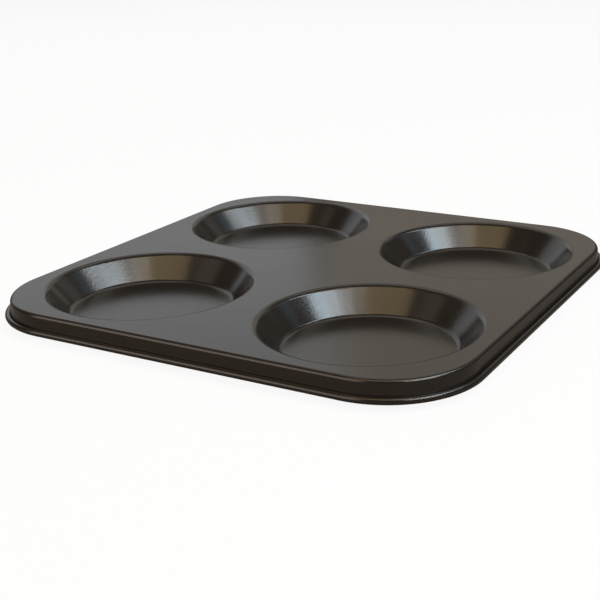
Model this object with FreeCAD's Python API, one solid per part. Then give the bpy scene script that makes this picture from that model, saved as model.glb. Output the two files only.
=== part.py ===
import FreeCAD, Part

import math
import os

from FreeCAD import Vector

# Four-cup pudding pan, pressed from one sheet of coated steel. Units are millimetres.
# The pan lies in the XY plane with +Z up. The origin is the middle of the pan on the surface that it
# stands on, which is the underside of the cup bases. The one solid follows the sheet: a flat deck,
# conical cups with a bend at mouth and base, and a rim that turns down and then curls outwards and up
# into an open bead.

# Sheet
sheet_thickness = 0.5

# Cups, with sizes on the face that the batter touches
cup_columns = 2
cup_rows = 2
cup_mouth_diameter = 98.4  # where the line of the wall meets the deck
cup_depth = 12.2
cup_wall_lean = 39.9  # degrees from upright
cup_mouth_bend = 4.0  # radius
cup_base_bend = 3.2  # radius

# Deck
web_between_cups = 20.0
deck_border = 6.95  # from a cup's mouth to the start of the rim's bend
deck_corner_radius = 38.0

# Rim, with sizes on its outer face
rim_height = 9.5  # from the deck down to the underside of the bead
rim_edge_bend = 1.7  # radius
skirt_draft = 4.0  # degrees from upright
bead_diameter = 3.0
bead_roll = 300.0  # degrees turned by the curled edge

# Places that follow from the sizes above
cup_pitch = cup_mouth_diameter + web_between_cups
cup_to_deck_edge = cup_mouth_diameter / 2 + deck_border
deck_half_x = (cup_columns - 1) * cup_pitch / 2 + cup_to_deck_edge
deck_half_y = (cup_rows - 1) * cup_pitch / 2 + cup_to_deck_edge
deck_height = cup_depth + sheet_thickness

ORIGIN = Vector(0, 0, 0)
UP = Vector(0, 0, 1)
RIGHT_ANGLE = 90.0
FULL_TURN = 360.0


def heading(degrees):
    """Direction in the XZ plane, counted from +X towards +Z."""
    angle = math.radians(degrees)
    return Vector(math.cos(angle), 0, math.sin(angle))


def trace_sheet(start, moves, depth):
    """Edges along the sheet at some depth below its upper face, and the point where they end.

    Each move is (turn, size). With no turn it is a straight of that length. Otherwise it is a bend of
    turn degrees, upwards if positive, with size as its radius on the upper face.
    """
    point = start - UP * depth
    direction = 0.0
    edges = []
    for turn, size in moves:
        if turn == 0:
            end = point + heading(direction) * size
            edges.append(Part.makeLine(point, end))
        else:
            side = math.copysign(1.0, turn)
            radius = size + side * depth
            inward = direction + side * RIGHT_ANGLE
            centre = point + heading(inward) * radius
            middle = centre - heading(inward + turn / 2) * radius
            end = centre - heading(inward + turn) * radius
            edges.append(Part.Arc(point, middle, end).toShape())
        point = end
        direction += turn
    return edges, point


def sheet_section(start, moves):
    """Face of the bent sheet in the XZ plane, from start outwards."""
    upper, upper_end = trace_sheet(start, moves, 0.0)
    lower, lower_end = trace_sheet(start, moves, sheet_thickness)
    first_edge = Part.makeLine(start, start - UP * sheet_thickness)
    last_edge = Part.makeLine(upper_end, lower_end)
    return Part.Face(Part.Wire(Part.__sortEdges__([first_edge, *lower, last_edge, *upper])))


def bend_setback(radius, turn):
    """Length that a bend takes from each of the two straights it joins."""
    return radius * math.tan(math.radians(turn) / 2)


def cup_section():
    """Section of a cup from its axis, across the base and up the wall to the deck."""
    rise = RIGHT_ANGLE - cup_wall_lean
    slope = math.radians(rise)
    base_radius = cup_mouth_diameter / 2 - cup_depth / math.tan(slope)
    base_setback = bend_setback(cup_base_bend, rise)
    wall = cup_depth / math.sin(slope) - base_setback - bend_setback(cup_mouth_bend, rise)
    moves = [
        (0, base_radius - base_setback),
        (rise, cup_base_bend),
        (0, wall),
        (-rise, cup_mouth_bend),
    ]
    return sheet_section(Vector(0, 0, sheet_thickness), moves)


def rim_section():
    """Section of the rim, starting at x = 0 on the edge of the flat deck."""
    fall = RIGHT_ANGLE - skirt_draft
    draft = math.radians(skirt_draft)
    curl_radius = bead_diameter / 2 - sheet_thickness
    bend_drop = rim_edge_bend * (1 - math.sin(draft))
    curl_start_drop = rim_height - bead_diameter / 2 + curl_radius * math.sin(draft)
    skirt = (curl_start_drop - bend_drop) / math.cos(draft)
    moves = [
        (-fall, rim_edge_bend),
        (0, skirt),
        (bead_roll, curl_radius),
    ]
    return sheet_section(Vector(0, 0, deck_height), moves)


def cup_centres():
    """Centres of the cups on the surface that the pan stands on."""
    for column in range(cup_columns):
        for row in range(cup_rows):
            x = (column - (cup_columns - 1) / 2) * cup_pitch
            y = (row - (cup_rows - 1) / 2) * cup_pitch
            yield Vector(x, y, 0)


def make_cups():
    cup = cup_section().revolve(ORIGIN, UP, FULL_TURN)
    return [cup.translated(centre) for centre in cup_centres()]


def make_deck():
    """Flat sheet between the cups and the rim, cut away where the mouths of the cups start to bend."""
    low_corner = Vector(-deck_half_x, -deck_half_y, deck_height - sheet_thickness)
    sheet = Part.makeBox(2 * deck_half_x, 2 * deck_half_y, sheet_thickness, low_corner)
    upright_edges = [edge for edge in sheet.Edges if abs(edge.tangentAt(edge.FirstParameter).z) > 0.5]
    sheet = sheet.makeFillet(deck_corner_radius, upright_edges)
    hole_radius = cup_mouth_diameter / 2 + bend_setback(cup_mouth_bend, RIGHT_ANGLE - cup_wall_lean)
    holes = [Part.makeCylinder(hole_radius, deck_height, centre) for centre in cup_centres()]
    return sheet.cut(holes)


def make_rim():
    """Four straight runs and four turned corners of one section."""
    section = rim_section()
    corner = section.translated(Vector(deck_corner_radius, 0, 0)).revolve(ORIGIN, UP, RIGHT_ANGLE)
    turning_x = deck_half_x - deck_corner_radius
    turning_y = deck_half_y - deck_corner_radius
    pieces = []
    for quarter in range(4):
        ahead, aside = (turning_x, turning_y) if quarter % 2 == 0 else (turning_y, turning_x)
        run_start = Vector(ahead + deck_corner_radius, -aside, 0)
        run = section.translated(run_start).extrude(Vector(0, 2 * aside, 0))
        for piece in (run, corner.translated(Vector(ahead, aside, 0))):
            piece.rotate(ORIGIN, UP, quarter * RIGHT_ANGLE)
            pieces.append(piece)
    return pieces


def make_pan():
    return make_deck().fuse([*make_cups(), *make_rim()]).removeSplitter()


pan = make_pan()
os.makedirs("parts", exist_ok=True)
pan.exportStep("parts/pan.step")
print("pan valid", pan.isValid(), "solids", len(pan.Solids), "volume", round(pan.Volume))
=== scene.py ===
import math

import bmesh
import bpy
from mathutils import Matrix, Quaternion, Vector


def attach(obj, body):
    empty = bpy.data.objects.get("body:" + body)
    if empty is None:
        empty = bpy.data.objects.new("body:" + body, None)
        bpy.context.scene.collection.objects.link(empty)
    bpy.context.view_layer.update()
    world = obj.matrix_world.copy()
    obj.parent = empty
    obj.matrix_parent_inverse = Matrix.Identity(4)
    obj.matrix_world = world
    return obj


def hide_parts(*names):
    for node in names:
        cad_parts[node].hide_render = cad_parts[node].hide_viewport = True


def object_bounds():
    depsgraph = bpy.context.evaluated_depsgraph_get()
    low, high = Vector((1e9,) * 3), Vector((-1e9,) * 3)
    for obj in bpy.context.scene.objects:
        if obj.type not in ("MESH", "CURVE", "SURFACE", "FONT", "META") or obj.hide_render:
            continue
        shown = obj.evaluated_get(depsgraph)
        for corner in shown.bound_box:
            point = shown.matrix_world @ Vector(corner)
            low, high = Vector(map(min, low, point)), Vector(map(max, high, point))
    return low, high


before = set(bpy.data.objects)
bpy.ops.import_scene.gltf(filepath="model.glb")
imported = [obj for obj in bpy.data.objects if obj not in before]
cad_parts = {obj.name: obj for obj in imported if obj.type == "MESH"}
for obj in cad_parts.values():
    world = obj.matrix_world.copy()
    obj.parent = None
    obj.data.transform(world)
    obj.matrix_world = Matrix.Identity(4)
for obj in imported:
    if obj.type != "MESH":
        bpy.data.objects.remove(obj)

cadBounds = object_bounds()
lowCorner, highCorner = cadBounds
deckHeight = highCorner.z
print("frame loaded, pan is", [round(1000 * v, 2) for v in highCorner - lowCorner], "mm")


# The pan's mesh: the bent sheet is traced in section, then swept round the cups and round the rim

panShape = {  # metres and degrees
    "sheet": 0.0005,  # thickness of the steel
    "cupMiddle": 0.0592,  # cups stand this far each way from the pan's middle
    "mouthRadius": 0.0492,  # where the wall's line meets the deck
    "wallLean": 39.9,  # from upright
    "mouthBend": 0.0040,  # bends are radii on the upper face
    "baseBend": 0.0032,
    "deckEdge": 0.11535,  # half the flat deck
    "cornerRadius": 0.0380,
    "edgeBend": 0.0017,
    "skirtDraft": 4.0,  # from upright
    "rimHeight": 0.0095,  # from the deck down to the underside of the bead
    "beadRadius": 0.0015,
    "beadRoll": 300.0,  # turned by the curled edge
    "cupSteps": 168,  # quads round a cup
    "bendStep": 9.0,  # degrees of bend to a quad
    "wallSteps": 5,
    "skirtSteps": 3,
    "deckRings": 5,  # rings of quads from a cup to its quarter's edge
    "floorRings": (0.004, 0.014, 0.026),  # radii of the rings on a cup's floor
    "joinWithin": 0.000002,  # quarters are joined where their vertices are this near
}


def traceSheet(start, moves, depth):  # points (across, height, tilt) of one face of the bent sheet
    across, height, tilt = start[0], start[1] - depth, 0.0
    points = [(across, height, tilt)]
    for turn, size, steps in moves:
        if turn == 0:
            for step in range(1, steps + 1):
                reach = size * step / steps
                points.append((across + reach * math.cos(tilt), height + reach * math.sin(tilt), tilt))
            across, height = points[-1][:2]
            continue
        side = math.copysign(1.0, turn)
        radius = size + side * depth
        middleAcross = across - side * radius * math.sin(tilt)
        middleHeight = height + side * radius * math.cos(tilt)
        for step in range(1, steps + 1):
            angle = tilt + math.radians(turn) * step / steps
            points.append((middleAcross + side * radius * math.sin(angle),
                           middleHeight - side * radius * math.cos(angle), angle))
        across, height, tilt = points[-1]
    return points


def bendSteps(turn):
    return max(2, math.ceil(abs(turn) / panShape["bendStep"]))


def setback(radius, turn):  # what a bend takes from each of its two straights
    return radius * math.tan(math.radians(turn) / 2)


def cupSection(depth):  # from the middle of a cup's floor to the flat deck
    s = panShape
    rise = 90.0 - s["wallLean"]
    slope = math.radians(rise)
    cupDepth = deckHeight - s["sheet"]
    baseRadius = s["mouthRadius"] - cupDepth / math.tan(slope)
    baseSetback, mouthSetback = setback(s["baseBend"], rise), setback(s["mouthBend"], rise)
    wall = cupDepth / math.sin(slope) - baseSetback - mouthSetback
    moves = [
        (rise, s["baseBend"], bendSteps(rise)),
        (0, wall, s["wallSteps"]),
        (-rise, s["mouthBend"], bendSteps(rise)),
    ]
    floor = [(ring, s["sheet"] - depth, 0.0) for ring in s["floorRings"]]
    return floor + traceSheet((baseRadius - baseSetback, s["sheet"]), moves, depth)


def rimSection(depth):  # from the edge of the flat deck to the sheet's rolled end
    s = panShape
    fall = 90.0 - s["skirtDraft"]
    draft = math.radians(s["skirtDraft"])
    curlRadius = s["beadRadius"] - s["sheet"]
    curlDrop = s["rimHeight"] - s["beadRadius"] + curlRadius * math.sin(draft)
    skirtDrop = curlDrop - s["edgeBend"] * (1 - math.sin(draft))
    moves = [
        (-fall, s["edgeBend"], bendSteps(fall)),
        (0, skirtDrop / math.cos(draft), s["skirtSteps"]),
        (s["beadRoll"], curlRadius, bendSteps(s["beadRoll"])),
    ]
    return traceSheet((0.0, deckHeight), moves, depth)


def quarterEdge(angle):  # where a ray from a cup's middle leaves its quarter of the deck, and the way out
    middle, edge, corner = panShape["cupMiddle"], panShape["deckEdge"], panShape["cornerRadius"]
    ray = Vector((math.cos(angle), math.sin(angle)))
    reach = min(((edge - middle) if part > 0 else middle) / abs(part) for part in ray if abs(part) > 1e-9)
    point = Vector((middle, middle)) + ray * reach
    turning = edge - corner
    if point.x > turning and point.y > turning:
        offset = Vector((middle - turning, middle - turning))
        along = offset.dot(ray)
        reach = -along + math.sqrt(along * along - offset.length_squared + corner * corner)
        point = Vector((middle, middle)) + ray * reach
        return point, (point - Vector((turning, turning))).normalized()
    return point, Vector((1, 0)) if point.x >= point.y else Vector((0, 1))


def quarterAngles():  # rays round a cup, with one at each place where its quarter's edge changes
    middle, edge = panShape["cupMiddle"], panShape["deckEdge"]
    turning = edge - panShape["cornerRadius"]
    keyPoints = [(edge, 0.0), (edge, turning), (turning, edge), (0.0, edge), (0.0, 0.0), (edge, 0.0)]
    keyAngles = [math.atan2(y - middle, x - middle) for x, y in keyPoints]
    angles, outer = [], 0
    for index, (first, last) in enumerate(zip(keyAngles, keyAngles[1:])):
        while last <= first:
            last += 2 * math.pi
        steps = max(2, round((last - first) / (2 * math.pi) * panShape["cupSteps"]))
        angles += [first + (last - first) * step / steps for step in range(steps)]
        if index == 2:
            outer = len(angles)  # rays up to here end on the rim
    return angles, outer


def addVertex(panMesh, quarter, place, normal):  # mirrored into its quarter of the pan
    flipX, flipY, facing = quarter
    vertex = panMesh.verts.new((flipX * place[0], flipY * place[1], place[2]))
    turned = Vector((flipX * normal[0], flipY * normal[1], normal[2])) * facing
    vertex[panMesh.verts.layers.float_vector["sheetNormal"]] = turned
    return vertex


def addStrip(panMesh, side, first, second):  # quads between two rows of vertices
    for corners in zip(first, first[1:], second[1:], second):
        panMesh.faces.new(corners).material_index = side


def closed(ring):
    return [*ring, ring[0]]


def addCupRing(panMesh, quarter, angles, reach, height, tilt):
    middle = panShape["cupMiddle"]
    ring = []
    for angle in angles:
        cosine, sine = math.cos(angle), math.sin(angle)
        place = (middle + reach * cosine, middle + reach * sine, height)
        normal = (-math.sin(tilt) * cosine, -math.sin(tilt) * sine, math.cos(tilt))
        ring.append(addVertex(panMesh, quarter, place, normal))
    return ring


def addDeckRing(panMesh, quarter, angles, edges, mouth, level, share):  # share of the way from mouth to edge
    middle = panShape["cupMiddle"]
    ring = []
    for angle, (edge, wayOut) in zip(angles, edges):
        start = Vector((middle + mouth * math.cos(angle), middle + mouth * math.sin(angle)))
        point = start.lerp(edge, share)
        ring.append(addVertex(panMesh, quarter, (point.x, point.y, level), (0, 0, 1)))
    return ring


def addRimRow(panMesh, quarter, edges, across, height, tilt):
    row = []
    for edge, wayOut in edges:
        place = (edge.x + wayOut.x * across, edge.y + wayOut.y * across, height)
        normal = (-math.sin(tilt) * wayOut.x, -math.sin(tilt) * wayOut.y, math.cos(tilt))
        row.append(addVertex(panMesh, quarter, place, normal))
    return row


def squareEnds(edges):  # the two ends of a quarter's rim face straight out, so that neighbours meet
    first, last = edges[0], edges[-1]
    return [(first[0], Vector((1, 0))), *edges[1:-1], (last[0], Vector((0, 1)))]


def addQuarter(panMesh, side, flipX, flipY):  # a cup with its deck and rim, on one face of the sheet
    depth = side * panShape["sheet"]
    quarter = (flipX, flipY, 1 - 2 * side)
    angles, outer = quarterAngles()
    edges = [quarterEdge(angle) for angle in angles]
    section = cupSection(depth)
    mouth, level = section[-1][:2]

    rings = [addCupRing(panMesh, quarter, angles, *point) for point in section]
    for ring in range(1, panShape["deckRings"] + 1):
        share = ring / panShape["deckRings"]
        rings.append(addDeckRing(panMesh, quarter, angles, edges, mouth, level, share))
    middle = panShape["cupMiddle"]
    centre = addVertex(panMesh, quarter, (middle, middle, section[0][1]), (0, 0, 1))
    for pair in zip(rings[0], closed(rings[0])[1:]):
        panMesh.faces.new((centre, *pair)).material_index = side
    for first, second in zip(rings, rings[1:]):
        addStrip(panMesh, side, closed(first), closed(second))

    rimEdges = squareEnds(edges[:outer + 1])
    rows = [rings[-1][:outer + 1]]
    rows += [addRimRow(panMesh, quarter, rimEdges, *point) for point in rimSection(depth)[1:]]
    curlStart = len(rows) - 1 - bendSteps(panShape["beadRoll"])
    for index, (first, second) in enumerate(zip(rows, rows[1:])):
        addStrip(panMesh, side if index < curlStart else 0, first, second)  # the curl is coated like the top
    return rows[-1]


def buildPanMesh():
    panMesh = bmesh.new()
    panMesh.verts.layers.float_vector.new("sheetNormal")
    flips = ((1, 1), (-1, 1), (-1, -1), (1, -1))
    rolledEnds = [[addQuarter(panMesh, side, *flip) for flip in flips] for side in (0, 1)]  # top, underside
    for upper, lower in zip(*rolledEnds):
        addStrip(panMesh, 0, upper, lower)
    bmesh.ops.remove_doubles(panMesh, verts=panMesh.verts[:], dist=panShape["joinWithin"])
    bmesh.ops.recalc_face_normals(panMesh, faces=panMesh.faces[:])
    return panMesh


def makePan():
    panMesh = buildPanMesh()
    mesh = bpy.data.meshes.new("pan_pressed")
    panMesh.to_mesh(mesh)
    panMesh.free()
    mesh.shade_smooth()
    normals = [tuple(item.vector) for item in mesh.attributes["sheetNormal"].data]
    mesh.normals_split_custom_set_from_vertices(normals)  # the sheet's true normals
    mesh.attributes.remove(mesh.attributes["sheetNormal"])
    pan = bpy.data.objects.new("pan_pressed", mesh)
    bpy.context.scene.collection.objects.link(pan)
    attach(pan, "root")
    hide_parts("pan")
    return pan


# Node helpers

nodeGap = 260  # from column to column and from row to row in the node editor


def addNode(tree, kind, place, **values):  # place is a column and a row
    node = tree.nodes.new(kind)
    node.location = (nodeGap * place[0], -nodeGap * place[1])
    for name, value in values.items():
        if name in node.inputs:
            node.inputs[name].default_value = value
        else:
            setattr(node, name, value)
    return node


def feed(tree, socket, value):  # another node's output is linked, and any other value is set
    if isinstance(value, bpy.types.NodeSocket):
        tree.links.new(value, socket)
    else:
        socket.default_value = value


def addMath(tree, operation, place, *values):
    node = addNode(tree, "ShaderNodeMath", place, operation=operation)
    for socket, value in zip(node.inputs, values):
        feed(tree, socket, value)
    return node.outputs[0]


def addColourMix(tree, place, share, first, second):
    node = addNode(tree, "ShaderNodeMix", place, data_type="RGBA")
    feed(tree, node.inputs[0], share)
    feed(tree, node.inputs[6], first)  # 6 and 7 are its colours among its other inputs
    feed(tree, node.inputs[7], second)
    return node.outputs[2]


def addShaderMix(tree, place, share, first, second):
    node = addNode(tree, "ShaderNodeMixShader", place)
    for socket, value in zip(node.inputs, (share, first, second)):
        feed(tree, socket, value)
    return node.outputs[0]


def addNoise(tree, place, size, detail):  # size of its blotches in metres
    column, row = place
    where = addNode(tree, "ShaderNodeTexCoord", (column - 1, row + 0.5))
    noise = addNode(tree, "ShaderNodeTexNoise", place, Detail=detail, Roughness=0.5)
    feed(tree, noise.inputs["Vector"], where.outputs["Object"])
    feed(tree, noise.inputs["Scale"], addMath(tree, "DIVIDE", (column - 1, row), 1.0, size))
    return noise.outputs["Fac"]


# Coating effects: node groups that the top's and the underside's coatings use

def makeGroup(name, inputs, outputs):
    group = bpy.data.node_groups.new(name, "ShaderNodeTree")
    for label, value in inputs.items():
        kind = "NodeSocketColor" if isinstance(value, tuple) else "NodeSocketFloat"
        group.interface.new_socket(label, in_out="INPUT", socket_type=kind).default_value = value
    for label, kind in outputs.items():
        group.interface.new_socket(label, in_out="OUTPUT", socket_type=kind)
    given = addNode(group, "NodeGroupInput", (-5, 0)).outputs
    made = addNode(group, "NodeGroupOutput", (4, 0)).inputs
    return group, given, made


def makeOrangePeel():  # waves of the pressed sheet, ripples of the sprayed coat and its fine grain
    sizes = {
        "Wave Size": 0.03, "Wave Height": 0.00005,
        "Ripple Size": 0.002, "Ripple Height": 0.00001,
        "Grain Size": 0.0005, "Grain Height": 0.000001,
    }
    group, given, made = makeGroup("orangePeel", sizes, {"Normal": "NodeSocketVector"})
    for row, name in enumerate(("Wave", "Ripple", "Grain")):
        bump = addNode(group, "ShaderNodeBump", (row, row), Strength=1.0)
        feed(group, bump.inputs["Height"], addNoise(group, (-2, row), given[name + " Size"], 1.0))
        feed(group, bump.inputs["Distance"], given[name + " Height"])
        if row > 0:  # each adds to the one before
            feed(group, bump.inputs["Normal"], normal)
        normal = bump.outputs[0]
    feed(group, made["Normal"], normal)
    return group


def makeGlossMottle():  # a satin gloss that is uneven in clouds and in flecks
    sizes = {
        "Roughness": 0.28,
        "Cloud Size": 0.03, "Cloud Depth": 0.05,
        "Fleck Size": 0.002, "Fleck Depth": 0.05,
    }
    group, given, made = makeGroup("glossMottle", sizes, {"Roughness": "NodeSocketFloat"})
    total = given["Roughness"]
    for row, name in enumerate(("Cloud", "Fleck")):
        noise = addNoise(group, (-2, row), given[name + " Size"], 2.0)
        swing = addMath(group, "SUBTRACT", (-1, row), noise, 0.5)
        total = addMath(group, "MULTIPLY_ADD", (row, row), swing, given[name + " Depth"], total)
    feed(group, made["Roughness"], total)
    return group


def makePigment():  # dark pigment with paler flecks, in slow changes of tone
    sizes = {
        "Colour": (0.016, 0.014, 0.012, 1.0), "Fleck Colour": (0.06, 0.055, 0.05, 1.0),
        "Fleck Size": 0.0007, "Fleck Share": 0.3,
        "Cloud Size": 0.05, "Cloud Depth": 0.4,
    }
    fleckEdge = {"From Min": 0.56, "From Max": 0.70}  # the noise where a fleck starts and where it is full
    group, given, made = makeGroup("pigment", sizes, {"Colour": "NodeSocketColor"})
    picked = addNode(group, "ShaderNodeMapRange", (-1, 0), **fleckEdge)
    feed(group, picked.inputs["Value"], addNoise(group, (-2, 0), given["Fleck Size"], 1.0))
    share = addMath(group, "MULTIPLY", (0, 0), picked.outputs[0], given["Fleck Share"])
    flecked = addColourMix(group, (1, 0), share, given["Colour"], given["Fleck Colour"])
    swing = addMath(group, "SUBTRACT", (-1, 1), addNoise(group, (-2, 1), given["Cloud Size"], 2.0), 0.5)
    brightness = addMath(group, "MULTIPLY_ADD", (0, 1), swing, given["Cloud Depth"], 1.0)
    tone = addNode(group, "ShaderNodeHueSaturation", (2, 0))
    feed(group, tone.inputs["Value"], brightness)
    feed(group, tone.inputs["Color"], flecked)
    feed(group, made["Colour"], tone.outputs[0])
    return group


# The non-stick coating, glossier on the face that is used than on the underside

coatings = {
    "nonStickTop": {
        "pigment": {"Colour": (0.0150, 0.0120, 0.0092, 1.0), "Fleck Share": 0.0},
        "glossMottle": {"Roughness": 0.20, "Cloud Depth": 0.05, "Fleck Depth": 0.04},
        "orangePeel": {
            "Wave Height": 0.00005,
            "Ripple Size": 0.0012, "Ripple Height": 0.000036,
            "Grain Height": 0.0000003,
        },
        "ior": 1.55,
    },
    "nonStickUnderside": {
        "pigment": {"Colour": (0.022, 0.019, 0.016, 1.0), "Fleck Share": 0.45},
        "glossMottle": {"Roughness": 0.42, "Cloud Depth": 0.10, "Fleck Depth": 0.10},
        "orangePeel": {"Wave Height": 0.00012, "Ripple Height": 0.000016, "Grain Height": 0.000003},
        "ior": 1.5,
    },
}
effectSockets = {"pigment": "Base Color", "glossMottle": "Roughness", "orangePeel": "Normal"}


def makeCoating(name, groups):
    look = coatings[name]
    material = bpy.data.materials.new(name)
    material.use_nodes = True
    tree = material.node_tree
    shader = tree.nodes["Principled BSDF"]
    shader.inputs["IOR"].default_value = look["ior"]
    for row, (effect, socket) in enumerate(effectSockets.items()):
        node = addNode(tree, "ShaderNodeGroup", (-1, row - 1), node_tree=groups[effect])
        for label, value in look[effect].items():
            node.inputs[label].default_value = value
        feed(tree, shader.inputs[socket], node.outputs[0])
    return material


# Floor and backdrop: pale where the camera sees them, darker where the pan reflects them

studio = {
    "floorSize": 6.0,
    "floorColour": (0.22, 0.19, 0.165, 1.0),  # as the pan reflects it
    "floorRoughness": 0.9,
    "worldColour": (1.0, 0.91, 0.80, 1.0),
    "worldStrength": 0.08,
    "white": (1.0, 1.0, 1.0, 1.0),
    "seenFloor": (0.90, 0.90, 0.90, 1.0),  # as the camera sees it
    "seenGlow": 0.92,  # how much plain white is mixed in there
    "seenWorld": 0.93,  # the backdrop there, which meets the far floor
}


def makeFloor():
    half = studio["floorSize"] / 2
    corners = [(half * x, half * y, 0) for x, y in ((-1, -1), (1, -1), (1, 1), (-1, 1))]
    mesh = bpy.data.meshes.new("studio_floor")
    mesh.from_pydata(corners, [], [(0, 1, 2, 3)])
    floor = bpy.data.objects.new("studio_floor", mesh)
    bpy.context.scene.collection.objects.link(floor)
    floor.location.z = lowCorner.z
    material = bpy.data.materials.new("paleFloor")
    material.use_nodes = True
    tree = material.node_tree
    shader = tree.nodes["Principled BSDF"]
    shader.inputs["Roughness"].default_value = studio["floorRoughness"]
    seen = addNode(tree, "ShaderNodeLightPath", (-2, 0)).outputs["Is Camera Ray"]
    colour = addColourMix(tree, (-1, 0), seen, studio["floorColour"], studio["seenFloor"])
    feed(tree, shader.inputs["Base Color"], colour)
    white = addNode(tree, "ShaderNodeEmission", (0, 2), Color=studio["white"], Strength=1.0)
    glow = addMath(tree, "MULTIPLY", (-1, 1), seen, studio["seenGlow"])
    mixed = addShaderMix(tree, (2, 0), glow, shader.outputs[0], white.outputs[0])
    feed(tree, tree.nodes["Material Output"].inputs[0], mixed)
    floor.data.materials.append(material)


def makeWorld():
    world = bpy.data.worlds.new("studio")
    bpy.context.scene.world = world
    world.use_nodes = True
    tree = world.node_tree
    light = tree.nodes["Background"]
    light.inputs["Color"].default_value = studio["worldColour"]
    light.inputs["Strength"].default_value = studio["worldStrength"]
    backdrop = addNode(tree, "ShaderNodeBackground", (0, 1), Color=studio["white"])
    backdrop.inputs["Strength"].default_value = studio["seenWorld"]
    seen = addNode(tree, "ShaderNodeLightPath", (-1, 0)).outputs["Is Camera Ray"]
    mixed = addShaderMix(tree, (1, 0), seen, light.outputs[0], backdrop.outputs[0])
    feed(tree, tree.nodes["World Output"].inputs[0], mixed)


# Soft panels round the pan: a daylit side in four strips, warm ones overhead and dim fills

softPanels = {  # each stands towards an azimuth and elevation, turned by tilt in its own plane, degrees
    "daylight": {"towards": (19.0, 53.5), "away": 3.02, "size": (2.55, 0.29), "tilt": -11.3,
                 "glow": 8.8, "colour": (0.84, 0.94, 1.0)},
    "daylightLeft": {"towards": (340.6, 57.4), "away": 3.12, "size": (0.90, 0.27),
                     "glow": 7.3, "colour": (0.98, 1.0, 0.98)},
    "daylightTop": {"towards": (4.4, 58.7), "away": 3.03, "size": (0.50, 0.25),
                    "glow": 5.5, "colour": (0.93, 1.0, 0.98)},
    "daylightLow": {"towards": (9.0, 48.2), "away": 3.01, "size": (0.95, 0.32), "tilt": -5.0,
                    "glow": 12.2, "colour": (0.72, 0.88, 1.0)},
    "cornerGlint": {"towards": (338, 38), "size": (0.95, 0.38), "glow": 8.6, "colour": (1.0, 0.93, 0.89)},
    "warmCorner": {"towards": (318, 64), "size": (0.40, 0.50), "glow": 3.0, "colour": (1.0, 0.90, 0.70)},
    "warmCrown": {"towards": (350, 70), "size": (0.50, 0.30), "glow": 1.9, "colour": (1.0, 0.76, 0.65)},
    "warmCeiling": {"towards": (268, 63), "size": (1.10, 0.65), "glow": 1.9, "colour": (1.0, 0.74, 0.41)},
    "sideFill": {"towards": (55, 36), "size": (0.50, 0.30), "glow": 0.58, "colour": (0.47, 0.78, 1.0)},
    "backLeft": {"towards": (145, 22), "size": (1.45, 0.63), "glow": 0.72, "colour": (0.92, 0.955, 1.0)},
    "backRight": {"towards": (108, 22), "size": (0.68, 0.63), "glow": 0.45, "colour": (1.0, 0.90, 0.76)},
    "rightHigh": {"towards": (82, 27), "size": (0.70, 0.35), "glow": 0.34, "colour": (0.94, 0.98, 1.0)},
    "backTop": {"towards": (126, 38), "size": (1.80, 0.40), "glow": 0.42, "colour": (0.95, 1.0, 0.89)},
    "backHigh": {"towards": (115, 58), "size": (1.20, 0.50), "glow": 1.00, "colour": (1.0, 0.97, 0.90)},
    "leftFill": {"towards": (217, 42), "size": (0.90, 0.40), "glow": 0.40, "colour": (1.0, 0.88, 0.74)},
    "lowFront": {"towards": (243, 20), "size": (1.45, 1.10), "glow": 2.1, "colour": (1.0, 0.81, 0.70)},
}
usualPanel = {"away": 1.7, "tilt": 0.0}  # for what a panel doesn't say itself


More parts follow.
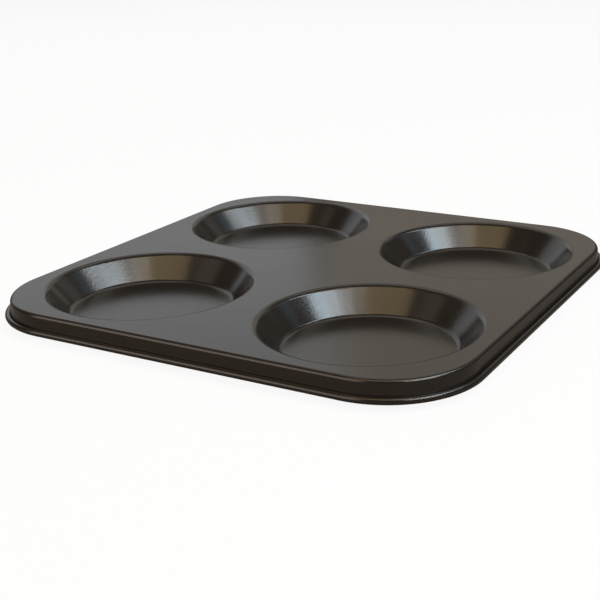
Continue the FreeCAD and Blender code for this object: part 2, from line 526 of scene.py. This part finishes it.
def makePanels():
    for name, settings in softPanels.items():
        panel = {**usualPanel, **settings}
        data = bpy.data.lights.new(name, "AREA")
        data.shape = "RECTANGLE"
        data.size, data.size_y = panel["size"]
        data.energy = panel["glow"] * math.pi * data.size * data.size_y  # watts that give the panel its glow
        data.color = panel["colour"]
        azimuth, elevation = (math.radians(angle) for angle in panel["towards"])
        level = math.cos(elevation)
        wayOut = Vector((math.cos(azimuth) * level, math.sin(azimuth) * level, math.sin(elevation)))
        facing = (-wayOut).to_track_quat("-Z", "Y")  # back at the pan
        lamp = bpy.data.objects.new(name, data)
        lamp.location = wayOut * panel["away"]
        lamp.rotation_euler = (facing @ Quaternion((0, 0, 1), math.radians(panel["tilt"]))).to_euler()
        lamp.visible_camera = False
        bpy.context.scene.collection.objects.link(lamp)


# Camera

view = {
    "azimuth": 29.2992,  # degrees, from straight in front towards the right
    "elevation": 19.4911,
    "roll": -1.2955,
    "distance": 0.50723,  # from the point aimed at
    "aim": (0.03556, -0.04076),  # on the deck
    "focal": 1.86019,  # focal length over the picture's width
    "across": 0.57,  # the optical centre's place in the picture, from left to right
    "sensor": 36.0,  # width in millimetres
    "clip": (0.01, 20.0),
}


def makeCamera():
    azimuth, elevation, roll = (math.radians(view[name]) for name in ("azimuth", "elevation", "roll"))
    level = math.cos(elevation)
    back = Vector((math.sin(azimuth) * level, -math.cos(azimuth) * level, math.sin(elevation)))
    sideways = Vector((math.cos(azimuth), math.sin(azimuth), 0.0))
    upwards = back.cross(sideways)
    right = sideways * math.cos(roll) + upwards * math.sin(roll)
    up = upwards * math.cos(roll) - sideways * math.sin(roll)
    data = bpy.data.cameras.new("camera")
    data.sensor_width = view["sensor"]
    data.lens = view["sensor"] * view["focal"]
    data.shift_x = 0.5 - view["across"]  # from the picture's middle
    data.clip_start, data.clip_end = view["clip"]
    camera = bpy.data.objects.new("camera", data)
    bpy.context.scene.collection.objects.link(camera)
    turned = Matrix((right, up, back)).transposed().to_4x4()
    aim = Vector((*view["aim"], deckHeight))
    camera.matrix_world = Matrix.Translation(aim + back * view["distance"]) @ turned
    bpy.context.scene.camera = camera


pan = makePan()
print("pan mesh", len(pan.data.polygons), "faces")
effects = {"pigment": makePigment(), "glossMottle": makeGlossMottle(), "orangePeel": makeOrangePeel()}
for coatingName in coatings:
    pan.data.materials.append(makeCoating(coatingName, effects))
print("coated, outside and underside")
makeFloor()
makeWorld()
makePanels()
makeCamera()
print("studio and camera made")

bpy.context.scene.view_settings.view_transform = "Standard"
bpy.context.view_layer.update()
